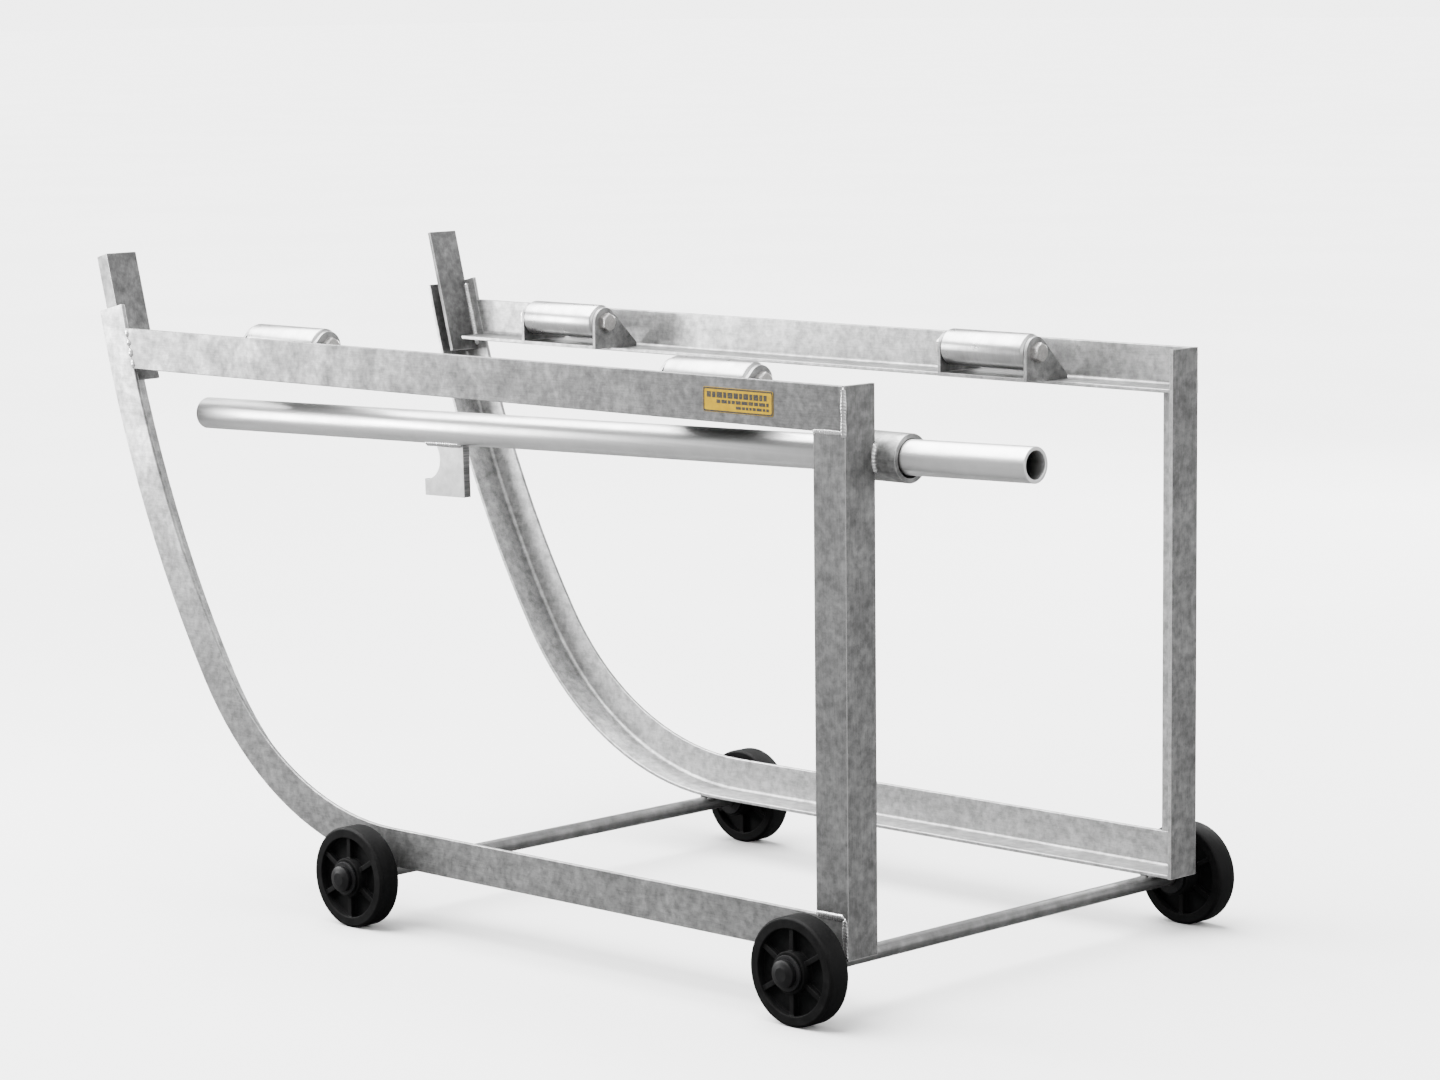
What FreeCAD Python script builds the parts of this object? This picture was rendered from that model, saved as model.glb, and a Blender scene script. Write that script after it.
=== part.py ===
# Tilting drum cradle on four wheels: two angle-iron side frames carried on two rod axles, with four
# rollers for the drum, two toe stops and a lever with a chime hook, stored in a sleeve.
# +X runs towards the posts, where the lever is held, +Y to the right-hand side, +Z is up, and the
# floor is Z = 0 under the middle of the object.
import FreeCAD
import Part
import Sketcher
import math
import os

Vector = FreeCAD.Vector
Rotation = FreeCAD.Rotation
Placement = FreeCAD.Placement

# Alias, number in millimetres or degrees, and what it measures.
DIMENSIONS = [
    ("post_end", 371.9, "X of the rear faces of the posts"),
    ("frame_width", 411.0, "over the outer faces of the side frames"),
    ("rail_top", 471.75, "top of the top rails above the floor"),
    ("rail_face", 34.6, "height of a top rail's outer flange"),
    ("angle_leg", 31.75, "flange width of the angle stock"),
    ("angle_thick", 3.2, "flange thickness of the angle stock"),
    ("angle_root", 3.0, "inside fillet of the angle stock"),
    ("sill_straight", 504.8, "straight length of a runner's sill"),
    ("toe_radius", 283.0, "outside radius of the toe's lower bend"),
    ("toe_angle", 57.0, "slope where the lower bend ends, degrees"),
    ("toe_upper_radius", 960.0, "outside radius of the toe's upper bend"),
    ("toe_end_angle", 77.1, "slope of the toe at its free end, degrees"),
    ("rail_length", 827.5, "length of a top rail along its lower edge"),
    ("rail_mitre", 15.2, "lean of the toe's edge where the top rail meets it, degrees"),
    ("stop_length", 112.0, "length of a drum stop"),
    ("stop_overlap", 66.0, "length of the stop that lies inside the toe"),
    ("stop_lip", 14.0, "narrow flange of a drum stop"),
    ("stop_face", 20.5, "from the toe's outer edge to the stop's bearing face"),
    ("rear_axle_inset", 27.0, "rear axle ahead of the post end"),
    ("wheelbase", 496.0, "between the axles"),
    ("axle_dia", 12.7, "axle rod diameter"),
    ("axle_length", 496.0, "axle rod length"),
    ("wheel_dia", 82.5, "wheel diameter"),
    ("wheel_track", 459.4, "between the middle planes of the treads"),
    ("wheel_tread", 20.0, "tread width"),
    ("tread_chamfer", 1.5, "chamfer of the tread's edges"),
    ("hub_dia", 32.0, "wheel hub diameter"),
    ("hub_outside", 11.7, "hub end outboard of the tread's middle plane"),
    ("hub_inside", 21.7, "hub end inboard of the tread's middle plane"),
    ("rim_depth", 8.5, "thickness of the wheel's rim"),
    ("web_thick", 7.0, "thickness of the wheel's web"),
    ("rib_thick", 4.0, "thickness of a wheel rib"),
    ("rib_width", 17.0, "width of a wheel rib along the axle"),
    ("rib_root", 1.0, "how far a rib's ends run into the hub and the rim"),
    ("bush_wall", 2.4, "wall of the wheel bushing"),
    ("running_gap", 0.06, "radial clearance of a running fit"),
    ("washer_dia", 27.0, "axle washer diameter"),
    ("washer_thick", 2.0, "axle washer thickness"),
    ("end_play", 0.5, "side clearance of a wheel hub or of a roller"),
    ("cap_dia", 21.0, "push-on axle cap diameter"),
    ("cap_depth", 6.0, "push-on axle cap depth"),
    ("cap_shoulder", 4.2, "straight part of an axle cap's side"),
    ("cap_crown", 10.5, "diameter of an axle cap's flat end"),
    ("roller_dia", 30.0, "drum roller diameter"),
    ("roller_length", 88.0, "drum roller length"),
    ("roller_edge", 2.0, "chamfer of a roller's ends"),
    ("roller_offset", 160.0, "roller axis from the middle plane"),
    ("roller_height", 463.75, "roller axis above the floor"),
    ("front_roller_inset", 673.0, "front rollers' middle ahead of the post end"),
    ("rear_roller_inset", 175.0, "rear rollers' middle ahead of the post end"),
    ("pin_dia", 9.5, "roller bolt diameter"),
    ("bracket_sheet", 3.0, "roller bracket sheet thickness"),
    ("bracket_reach", 38.5, "bracket from the roller's axis towards the rail"),
    ("ear_radius", 13.0, "rounding of a bracket ear about the bolt"),
    ("head_corner", 8.1, "bolt head and nut radius over corners"),
    ("head_height", 6.0, "bolt head height"),
    ("nut_height", 7.5, "nut height"),
    ("bolt_proud", 2.0, "bolt thread standing out of the nut"),
    ("lever_dia", 26.7, "lever tube outside diameter"),
    ("lever_wall", 2.9, "lever tube wall"),
    ("lever_length", 930.0, "lever tube length"),
    ("lever_overhang", 118.0, "lever behind the sleeve's rear end"),
    ("lever_offset", 156.4, "lever axis from the middle plane"),
    ("lever_height", 417.35, "lever axis above the floor at the sleeve's rear end"),
    ("lever_droop", 1.37, "how far the lever hangs in its sleeve, degrees"),
    ("sleeve_dia", 36.8, "lever sleeve outside diameter"),
    ("sleeve_bore", 29.2, "lever sleeve bore"),
    ("sleeve_length", 75.0, "lever sleeve length"),
    ("sleeve_rear", 20.0, "sleeve's rear end behind the post end"),
    ("hook_front", 482.5, "hook plate's rear edge ahead of the sleeve's rear end"),
    ("hook_length", 47.5, "hook plate along its lower edge"),
    ("hook_drop", 55.6, "from the lever axis to the hook plate's lower edge"),
    ("throat_radius", 17.0, "radius of the hook's throat"),
    ("throat_ahead", 45.5, "throat's centre ahead of the plate's rear edge"),
    ("throat_drop", 25.4, "throat's centre below the lever axis"),
    ("hook_thick", 7.0, "hook plate thickness"),
    ("label_length", 72.0, "label length"),
    ("label_height", 18.6, "label height"),
    ("label_thick", 0.3, "label thickness"),
    ("label_inset", 143.6, "label's front edge ahead of the post end"),
    ("label_low", 7.6, "label's lower edge above the top rail's lower edge"),
]

SIDES = (("left", -1), ("right", 1))
ENDS = ("front", "rear")
RIB_COUNT = 6

doc = FreeCAD.newDocument("DrumDolly")
sheet = doc.addObject("Spreadsheet::Sheet", "Dimensions")
for row, (alias, number, note) in enumerate(DIMENSIONS, start=1):
    sheet.set("A%d" % row, str(number))
    sheet.setAlias("A%d" % row, alias)
    sheet.set("B%d" % row, note)
doc.recompute()
size = {alias: number for alias, number, note in DIMENSIONS}
subparts = []

# Places that several sub-parts share.
sill_bottom = (size["wheel_dia"] + size["axle_dia"]) / 2
axle_height = size["wheel_dia"] / 2
flange_top = size["rail_top"] - size["rail_face"] + size["angle_thick"]
axle_x = {"rear": size["post_end"] - size["rear_axle_inset"]}
axle_x["front"] = axle_x["rear"] - size["wheelbase"]
roller_x = {end: size["post_end"] - size[end + "_roller_inset"] for end in ENDS}
sleeve_x = size["post_end"] + size["sleeve_rear"]
droop_rise = math.tan(math.radians(size["lever_droop"])) * size["sleeve_length"] / 2
sleeve_height = size["lever_height"] - droop_rise


def sub_part(item, label):
    """Name a sub-part; the label also names its file."""
    item.Label = label
    subparts.append(item)
    return item


def from_sheet(text):
    """An expression in which =name stands for a cell of the sheet."""
    return text.replace("=", "Dimensions.")


def bind(item, **expressions):
    for name, text in expressions.items():
        item.setExpression(name, from_sheet(text))
    return item


def new_body(name, base=Vector(), turn=Rotation()):
    body = doc.addObject("PartDesign::Body", name)
    body.Placement = Placement(base, turn)
    return body


def new_sketch(body, name, plane):
    """A sketch on one of the body's own origin planes."""
    sketch = body.newObject("Sketcher::SketchObject", name)
    feature = [item for item in body.Origin.OriginFeatures if item.Role == plane][0]
    sketch.AttachmentSupport = [(feature, "")]
    sketch.MapMode = "FlatFace"
    return sketch


def bound_constraint(sketch, text, *terms):
    """Add a constraint whose last term is a first value, and bind it to the sheet."""
    number = sketch.addConstraint(Sketcher.Constraint(*terms))
    sketch.setExpression("Constraints[%d]" % number, from_sheet(text))


def place_point(sketch, curve, point, across, up):
    """Hold a point of a curve at bound distances from the sketch's origin; "0" puts it on the axis."""
    spot = sketch.getPoint(curve, point)
    for kind, first, text, axis in (("DistanceX", spot.x, across, -2), ("DistanceY", spot.y, up, -1)):
        if text == "0":
            sketch.addConstraint(Sketcher.Constraint("PointOnObject", curve, point, axis))
        else:
            bound_constraint(sketch, text, kind, -1, 1, curve, point, first)


def polygon(sketch, corners):
    """A closed outline through corners given as pairs of expressions."""
    start = [Vector(math.cos(2 * math.pi * n / len(corners)), math.sin(2 * math.pi * n / len(corners)), 0)
             for n in range(len(corners))]
    sides = [sketch.addGeometry(Part.LineSegment(here, there), False)
             for here, there in zip(start, start[1:] + start[:1])]
    for side, following in zip(sides, sides[1:] + sides[:1]):
        sketch.addConstraint(Sketcher.Constraint("Coincident", side, 2, following, 1))
    for side, (across, up) in zip(sides, corners):
        place_point(sketch, side, 1, across, up)


def circle(sketch, radius, across="0", up="0"):
    ring = sketch.addGeometry(Part.Circle(Vector(1, 1, 0), Vector(0, 0, 1), 1.0), False)
    place_point(sketch, ring, 3, across, up)
    bound_constraint(sketch, radius, "Radius", ring, 1.0)


def angle_section(sketch, flat, upright, flat_way, upright_way):
    """The L of an angle with its outer corner at the origin; flat and upright name its flanges' sizes."""
    thick = size["angle_thick"]
    root = size["angle_root"]
    corners = [Vector(0, 0, 0), Vector(size[flat], 0, 0), Vector(size[flat], thick, 0),
               Vector(thick + root, thick, 0), Vector(thick, thick + root, 0),
               Vector(thick, size[upright], 0), Vector(0, size[upright], 0)]
    corners = [Vector(spot.x * flat_way, spot.y * upright_way, 0) for spot in corners]
    pairs = ((0, 1), (1, 2), (2, 3), (4, 5), (5, 6), (6, 0))
    sides = [sketch.addGeometry(Part.LineSegment(corners[a], corners[b]), False) for a, b in pairs]
    middle = Vector((thick + root) * flat_way, (thick + root) * upright_way, 0)
    middle += Vector(-flat_way, -upright_way, 0) * (root / math.sqrt(2))
    fillet = sketch.addGeometry(Part.Arc(corners[3], middle, corners[4]), False)
    first = 1 if sketch.getPoint(fillet, 1).distanceToPoint(corners[3]) < root / 2 else 2
    for side, following in ((0, 1), (1, 2), (3, 4), (4, 5), (5, 0)):
        sketch.addConstraint(Sketcher.Constraint("Coincident", sides[side], 2, sides[following], 1))
    sketch.addConstraint(Sketcher.Constraint("Tangent", sides[2], 2, fillet, first))
    sketch.addConstraint(Sketcher.Constraint("Tangent", fillet, 3 - first, sides[3], 1))
    for number, side in enumerate(sides):
        sketch.addConstraint(Sketcher.Constraint("Vertical" if number % 2 else "Horizontal", side))
    sketch.addConstraint(Sketcher.Constraint("Coincident", sides[0], 1, -1, 1))
    for side, name in ((0, flat), (1, "angle_thick"), (4, "angle_thick"), (5, upright)):
        bound_constraint(sketch, "=" + name, "Distance", sides[side], size[name])
    bound_constraint(sketch, "=angle_root", "Radius", fillet, root)


def add_feature(body, kind, name, sketch, **settings):
    """Add a sketch-based feature and make it the body's tip; a text setting is bound to the sheet."""
    feature = body.newObject("PartDesign::" + kind, name)
    feature.Profile = sketch
    for key, setting in settings.items():
        if isinstance(setting, str) and "=" in setting:
            bind(feature, **{key: setting})
        else:
            setattr(feature, key, setting)
    body.Tip = feature
    return feature


def cut_through(body, name, sketch):
    """Cut the sketch's outline right through the body, both ways."""
    return add_feature(body, "Pocket", name, sketch, Type="ThroughAll", Midplane=True)


def revolve(body, name, sketch, axis):
    return add_feature(body, "Revolution", name, sketch, ReferenceAxis=(sketch, [axis]), Angle=360.0)


def toe_point(slope):
    """Where the upper bend's outer edge has this slope, from the runner's start: (along, up)."""
    bend_end = math.radians(size["toe_angle"])
    steep = math.radians(slope)
    along = -size["sill_straight"] - size["toe_radius"] * math.sin(bend_end)
    along -= size["toe_upper_radius"] * (math.sin(steep) - math.sin(bend_end))
    up = size["toe_radius"] * (1 - math.cos(bend_end))
    up += size["toe_upper_radius"] * (math.cos(bend_end) - math.cos(steep))
    return along, up


def runner_route(route):
    """The runner's outer corner line: the straight sill, then two bends that meet smoothly."""
    up = Vector(0, 0, 1)
    sill_end = Vector(-size["sill_straight"], 0, 0)
    low_middle = sill_end + Vector(0, size["toe_radius"], 0)
    joint = math.radians(270 - size["toe_angle"])
    free_end = math.radians(270 - size["toe_end_angle"])
    outward = Vector(math.cos(joint), math.sin(joint), 0)
    high_middle = low_middle + outward * (size["toe_radius"] - size["toe_upper_radius"])
    low_circle = Part.Circle(low_middle, up, size["toe_radius"])
    high_circle = Part.Circle(high_middle, up, size["toe_upper_radius"])
    sill = route.addGeometry(Part.LineSegment(Vector(0, 0, 0), sill_end), False)
    lower = route.addGeometry(Part.ArcOfCircle(low_circle, joint, math.radians(270)), False)
    upper = route.addGeometry(Part.ArcOfCircle(high_circle, free_end, joint), False)
    route.addConstraint(Sketcher.Constraint("Coincident", sill, 1, -1, 1))
    route.addConstraint(Sketcher.Constraint("Horizontal", sill))
    route.addConstraint(Sketcher.Constraint("Tangent", sill, 2, lower, 2))
    route.addConstraint(Sketcher.Constraint("Tangent", lower, 1, upper, 2))
    bound_constraint(route, "=sill_straight", "Distance", sill, size["sill_straight"])
    bound_constraint(route, "=toe_radius", "Radius", lower, size["toe_radius"])
    bound_constraint(route, "=toe_upper_radius", "Radius", upper, size["toe_upper_radius"])
    low_rise = "=toe_radius * (1 - cos(=toe_angle * 1 deg))"
    high_rise = " + =toe_upper_radius * (cos(=toe_angle * 1 deg) - cos(=toe_end_angle * 1 deg))"
    bound_constraint(route, low_rise, "DistanceY", -1, 1, lower, 1, toe_point(size["toe_angle"])[1])
    bound_constraint(route, low_rise + high_rise, "DistanceY", -1, 1, upper, 1,
                     toe_point(size["toe_end_angle"])[1])


def runner(side, way):
    """Sill and curved toe bent from one angle, its second flange on the outside of the bend."""
    base = Vector(size["post_end"] - size["angle_thick"], way * size["frame_width"] / 2, sill_bottom)
    body = new_body(side + "_runner_body", base)
    section = new_sketch(body, side + "_runner_section", "YZ_Plane")
    angle_section(section, "angle_leg", "angle_leg", -way, 1)
    route = new_sketch(body, side + "_runner_route", "XZ_Plane")
    runner_route(route)
    doc.recompute()
    add_feature(body, "AdditivePipe", side + "_runner_sweep", section, Spine=(route, []))
    return sub_part(body, side + "_runner")


def top_rail(side, way):
    """Straight angle: outer flange upright, second flange along its lower edge, mitred to the toe."""
    base = Vector(size["post_end"] - size["angle_thick"], way * size["frame_width"] / 2,
                  size["rail_top"] - size["rail_face"])
    body = new_body(side + "_rail_body", base)
    section = new_sketch(body, side + "_rail_section", "YZ_Plane")
    angle_section(section, "angle_leg", "rail_face", -way, 1)
    whole = "=rail_length + =rail_face * tan(=rail_mitre * 1 deg)"
    add_feature(body, "Pad", side + "_rail_pad", section, Length=whole, Reversed=True)
    mitre = new_sketch(body, side + "_rail_mitre", "XZ_Plane")
    beyond = "-(%s)" % whole
    polygon(mitre, [("-=rail_length", "0"), (beyond, "=rail_face"), (beyond, "0")])
    cut_through(body, side + "_rail_mitre_cut", mitre)
    return sub_part(body, side + "_top_rail")


def post(side, way):
    """Upright angle: rear flange at full height, outer flange coped between the two rails."""
    body = new_body(side + "_post_body", Vector(size["post_end"], way * size["frame_width"] / 2, sill_bottom))
    section = new_sketch(body, side + "_post_section", "XY_Plane")
    angle_section(section, "angle_leg", "angle_leg", -1, -way)
    height = "=rail_top - (=wheel_dia + =axle_dia) / 2"
    add_feature(body, "Pad", side + "_post_pad", section, Length=height)
    levels = (("0", "=angle_leg"), (height + " - =rail_face", height))
    for place, (low, high) in zip(("lower", "upper"), levels):
        cope = new_sketch(body, "%s_post_%s_cope" % (side, place), "XZ_Plane")
        polygon(cope, [("-=angle_leg", low), ("-=angle_thick", low),
                       ("-=angle_thick", high), ("-=angle_leg", high)])
        cut_through(body, "%s_post_%s_cut" % (side, place), cope)
    if way < 0:
        saddle = new_sketch(body, side + "_post_saddle", "YZ_Plane")
        height = "=lever_height - =sleeve_length / 2 * tan(=lever_droop * 1 deg)"
        above_sill = height + " - (=wheel_dia + =axle_dia) / 2"
        circle(saddle, "=sleeve_dia / 2", "=frame_width / 2 - =lever_offset", above_sill)
        cut_through(body, side + "_post_saddle_cut", saddle)
    return sub_part(body, side + "_post")


def drum_stop(side, way):
    """Short unequal angle inside the toe's end; its broad flange is the face the drum's rim rests on."""
    half_overlap = math.degrees(size["stop_overlap"] / 2 / size["toe_upper_radius"])
    slope = size["toe_end_angle"] - half_overlap
    along, up = toe_point(slope)
    lean = math.radians(90 - slope)
    edge = Vector(size["post_end"] - size["angle_thick"] + along, 0, sill_bottom + up)
    base = edge + Vector(math.cos(lean), 0, math.sin(lean)) * size["stop_face"]
    base -= Vector(-math.sin(lean), 0, math.cos(lean)) * (size["stop_overlap"] / 2)
    base.y = way * (size["frame_width"] / 2 - size["angle_thick"])
    body = new_body(side + "_stop_body", base, Rotation(Vector(0, 1, 0), slope - 90))
    section = new_sketch(body, side + "_stop_section", "XY_Plane")
    angle_section(section, "stop_lip", "angle_leg", -1, -way)
    add_feature(body, "Pad", side + "_stop_pad", section, Length="=stop_length")
    return sub_part(body, side + "_drum_stop")


def rod(name, length, radius, base, turn):
    """A plain cylinder with bound sizes; base is the middle of its starting end."""
    cylinder = doc.addObject("Part::Cylinder", name)
    bind(cylinder, Height=length, Radius=radius)
    cylinder.Placement = Placement(base, turn)
    return cylinder


ALONG_Y = Rotation(Vector(1, 0, 0), -90)
ALONG_X = Rotation(Vector(0, 1, 0), 90)


def axle(end):
    """Rod axle under both sills."""
    base = Vector(axle_x[end], -size["axle_length"] / 2, axle_height)
    return sub_part(rod(end + "_axle_rod", "=axle_length", "=axle_dia / 2", base, ALONG_Y), end + "_axle")


def wheel(side, way, end):
    """Moulded wheel: rim, web, ribs and a hub that reaches further inboard; bored for its bushing."""
    name = "%s_%s_wheel" % (side, end)
    base = Vector(axle_x[end], way * size["wheel_track"] / 2, axle_height)
    body = new_body(name + "_body", base, Rotation(Vector(0, 0, 1), 90 - 90 * way))
    profile = new_sketch(body, name + "_profile", "YZ_Plane")
    bore = "=axle_dia / 2 + =running_gap + =bush_wall"
    rim = "=wheel_dia / 2 - =rim_depth"
    tread = "=wheel_tread / 2"
    corner = "=wheel_dia / 2 - =tread_chamfer"
    web = "=web_thick / 2"
    hub = "=hub_dia / 2"
    polygon(profile, [
        ("-=hub_inside", bore), ("=hub_outside", bore), ("=hub_outside", hub), (web, hub), (web, rim),
        (tread, rim), (tread, corner), (tread + " - =tread_chamfer", "=wheel_dia / 2"),
        ("-(%s - =tread_chamfer)" % tread, "=wheel_dia / 2"), ("-" + tread, corner), ("-" + tread, rim),
        ("-" + web, rim), ("-" + web, hub), ("-=hub_inside", hub)])
    revolve(body, name + "_revolution", profile, "H_Axis")
    rib = new_sketch(body, name + "_rib_outline", "XZ_Plane")
    rib_start = "=hub_dia / 2 - =rib_root"
    rib_end = rim + " + =rib_root"
    polygon(rib, [("-=rib_thick / 2", rib_start), ("=rib_thick / 2", rib_start),
                  ("=rib_thick / 2", rib_end), ("-=rib_thick / 2", rib_end)])
    ribs = add_feature(body, "Pad", name + "_rib", rib, Length="=rib_width", Midplane=True)
    pattern = body.newObject("PartDesign::PolarPattern", name + "_ribs")
    pattern.Originals = [ribs]
    pattern.Axis = (profile, ["H_Axis"])
    pattern.Angle = 360.0
    pattern.Occurrences = RIB_COUNT
    body.Tip = pattern
    return sub_part(body, name)


def ring(name, outer, inner, length, base, turn):
    """A plain ring or tube: a cylinder with a cylinder cut out of it."""
    outside = rod(name + "_outside", length, outer, base, turn)
    inside = rod(name + "_inside", length, inner, base, turn)
    cut = doc.addObject("Part::Cut", name + "_ring")
    cut.Base = outside
    cut.Tool = inside
    return cut


def wheel_bushing(side, way, end):
    """Plain bushing pressed into the hub; it runs on the axle."""
    name = "%s_%s_wheel_bushing" % (side, end)
    inner_end = size["wheel_track"] / 2 - size["hub_inside"]
    start = inner_end if way > 0 else -inner_end - size["hub_inside"] - size["hub_outside"]
    bore = "=axle_dia / 2 + =running_gap"
    bush = ring(name, bore + " + =bush_wall", bore, "=hub_inside + =hub_outside",
                Vector(axle_x[end], start, axle_height), ALONG_Y)
    return sub_part(bush, name)


def group(name, items):
    """Identical loose pieces kept together as separate solids."""
    compound = doc.addObject("Part::Compound", name + "_group")
    compound.Links = items
    return sub_part(compound, name)


def axle_washers():
    """A washer against each side frame and one outside each wheel hub."""
    inner = size["frame_width"] / 2
    outer = size["wheel_track"] / 2 + size["hub_outside"] + size["end_play"]
    washers = []
    for end in ENDS:
        for side, way in SIDES:
            for place, near in (("inner", inner), ("outer", outer)):
                start = near if way > 0 else -near - size["washer_thick"]
                base = Vector(axle_x[end], start, axle_height)
                washers.append(ring("%s_%s_%s_washer" % (side, end, place), "=washer_dia / 2",
                                    "=axle_dia / 2", "=washer_thick", base, ALONG_Y))
    return group("axle_washers", washers)


def axle_caps():
    """Push-on caps that close the axle ends and hold the wheels on."""
    start = size["wheel_track"] / 2 + size["hub_outside"] + size["end_play"] + size["washer_thick"]
    caps = []
    for end in ENDS:
        for side, way in SIDES:
            name = "%s_%s_axle_cap" % (side, end)
            body = new_body(name + "_body", Vector(axle_x[end], way * start, axle_height),
                            Rotation(Vector(0, 0, 1), 90 - 90 * way))
            profile = new_sketch(body, name + "_profile", "YZ_Plane")
            blind = "=axle_length / 2 - (=wheel_track / 2 + =hub_outside + =end_play + =washer_thick)"
            polygon(profile, [("0", "=axle_dia / 2"), ("0", "=cap_dia / 2"),
                              ("=cap_shoulder", "=cap_dia / 2"), ("=cap_depth", "=cap_crown / 2"),
                              ("=cap_depth", "0"), (blind, "0"), (blind, "=axle_dia / 2")])
            revolve(body, name + "_revolution", profile, "H_Axis")
            caps.append(body)
    return group("axle_caps", caps)


def ear_outline(sketch, way):
    """Side view of a roller bracket: a round nose about the bolt, sloping down towards the rail."""
    nose = size["ear_radius"]
    pin_up = size["roller_height"] - flange_top
    middle = Vector(0, pin_up, 0)
    slope_top = middle + Vector(math.sqrt(0.5) * way, math.sqrt(0.5), 0) * nose
    reach = size["bracket_reach"]
    foot_up = slope_top.y - (reach - abs(slope_top.x))
    spots = [Vector(-nose * way, 0, 0), Vector(-nose * way, pin_up, 0), slope_top,
             Vector(reach * way, foot_up, 0), Vector(reach * way, 0, 0)]
    back = sketch.addGeometry(Part.LineSegment(spots[0], spots[1]), False)
    slope = sketch.addGeometry(Part.LineSegment(spots[2], spots[3]), False)
    toe = sketch.addGeometry(Part.LineSegment(spots[3], spots[4]), False)
    foot = sketch.addGeometry(Part.LineSegment(spots[4], spots[0]), False)
    top_of_nose = middle + Vector(-math.sqrt(0.5) * way, math.sqrt(0.5), 0) * nose
    round_nose = sketch.addGeometry(Part.Arc(spots[1], top_of_nose, spots[2]), False)
    first = 1 if sketch.getPoint(round_nose, 1).distanceToPoint(spots[1]) < nose / 2 else 2
    for here, there in (((slope, 2), (toe, 1)), ((toe, 2), (foot, 1)), ((foot, 2), (back, 1))):
        sketch.addConstraint(Sketcher.Constraint("Coincident", *here, *there))
    sketch.addConstraint(Sketcher.Constraint("Tangent", back, 2, round_nose, first))
    sketch.addConstraint(Sketcher.Constraint("Tangent", round_nose, 3 - first, slope, 1))
    sketch.addConstraint(Sketcher.Constraint("Vertical", back))
    sketch.addConstraint(Sketcher.Constraint("Vertical", toe))
    sketch.addConstraint(Sketcher.Constraint("Horizontal", foot))
    sketch.addConstraint(Sketcher.Constraint("PointOnObject", back, 1, -1))
    bound_constraint(sketch, "=ear_radius", "Radius", round_nose, nose)
    place_point(sketch, round_nose, 3, "0", "=roller_height - (=rail_top - =rail_face + =angle_thick)")
    sketch.addConstraint(Sketcher.Constraint("Angle", slope, math.radians(-45 if way > 0 else -135)))
    reach_text = "=bracket_reach" if way > 0 else "-=bracket_reach"
    bound_constraint(sketch, reach_text, "DistanceX", -1, 1, toe, 2, reach * way)


def roller_bracket(side, way, end):
    """Folded U bracket on the top rail's lower flange: a base and two ears that carry the bolt."""
    name = "%s_%s_roller_bracket" % (side, end)
    whole = size["roller_length"] + 2 * (size["end_play"] + size["bracket_sheet"])
    base = Vector(roller_x[end] - whole / 2, way * size["roller_offset"], flange_top)
    body = new_body(name + "_body", base)
    outline = new_sketch(body, name + "_outline", "YZ_Plane")
    ear_outline(outline, way)
    whole_text = "=roller_length + 2 * (=end_play + =bracket_sheet)"
    add_feature(body, "Pad", name + "_pad", outline, Length=whole_text)
    opening = new_sketch(body, name + "_opening", "XZ_Plane")
    far_ear = whole_text + " - =bracket_sheet"
    above = "=rail_top"
    polygon(opening, [("=bracket_sheet", "=bracket_sheet"), (far_ear, "=bracket_sheet"),
                      (far_ear, above), ("=bracket_sheet", above)])
    cut_through(body, name + "_opening_cut", opening)
    hole = new_sketch(body, name + "_hole", "YZ_Plane")
    circle(hole, "=pin_dia / 2", "0", "=roller_height - (=rail_top - =rail_face + =angle_thick)")
    cut_through(body, name + "_hole_cut", hole)
    return sub_part(body, name)


def roller(side, way, end):
    """Solid roller, bored for its bolt, with chamfered ends."""
    name = "%s_%s_roller" % (side, end)
    base = Vector(roller_x[end], way * size["roller_offset"], size["roller_height"])
    body = new_body(name + "_body", base)
    profile = new_sketch(body, name + "_profile", "XZ_Plane")
    bore = "=pin_dia / 2 + =running_gap"
    half = "=roller_length / 2"
    edge = half + " - =roller_edge"
    shoulder = "=roller_dia / 2 - =roller_edge"
    polygon(profile, [("-" + half, bore), (half, bore), (half, shoulder), (edge, "=roller_dia / 2"),
                      ("-(%s)" % edge, "=roller_dia / 2"), ("-" + half, shoulder)])
    revolve(body, name + "_revolution", profile, "H_Axis")
    return sub_part(body, name)


def hexagon(name, length, base):
    prism = doc.addObject("Part::Prism", name)
    prism.Polygon = 6
    bind(prism, Circumradius="=head_corner", Height=length)
    prism.Placement = Placement(base, ALONG_X)
    return prism


def roller_fasteners():
    """A hexagon bolt through each roller and bracket, and its nut."""
    bolts = []
    nuts = []
    reach = size["roller_length"] / 2 + size["end_play"] + size["bracket_sheet"]
    for end in ENDS:
        for side, way in SIDES:
            name = "%s_%s_roller" % (side, end)
            middle = Vector(roller_x[end], way * size["roller_offset"], size["roller_height"])
            head_start = middle + Vector(reach, 0, 0)
            head = hexagon(name + "_bolt_head", "=head_height", head_start)
            nut_start = middle - Vector(reach + size["nut_height"], 0, 0)
            shank_start = nut_start - Vector(size["bolt_proud"], 0, 0)
            shank_length = "=roller_length + 2 * (=end_play + =bracket_sheet) + =nut_height + =bolt_proud"
            shank = rod(name + "_bolt_shank", shank_length, "=pin_dia / 2", shank_start, ALONG_X)
            bolt = doc.addObject("Part::MultiFuse", name + "_bolt_whole")
            bolt.Shapes = [head, shank]
            bolts.append(bolt)
            blank = hexagon(name + "_nut_blank", "=nut_height", nut_start)
            tapping = rod(name + "_nut_hole", "=nut_height", "=pin_dia / 2", nut_start, ALONG_X)
            nut = doc.addObject("Part::Cut", name + "_nut_whole")
            nut.Base = blank
            nut.Tool = tapping
            nuts.append(nut)
    return [group("roller_bolts", bolts), group("roller_nuts", nuts)]


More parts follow.
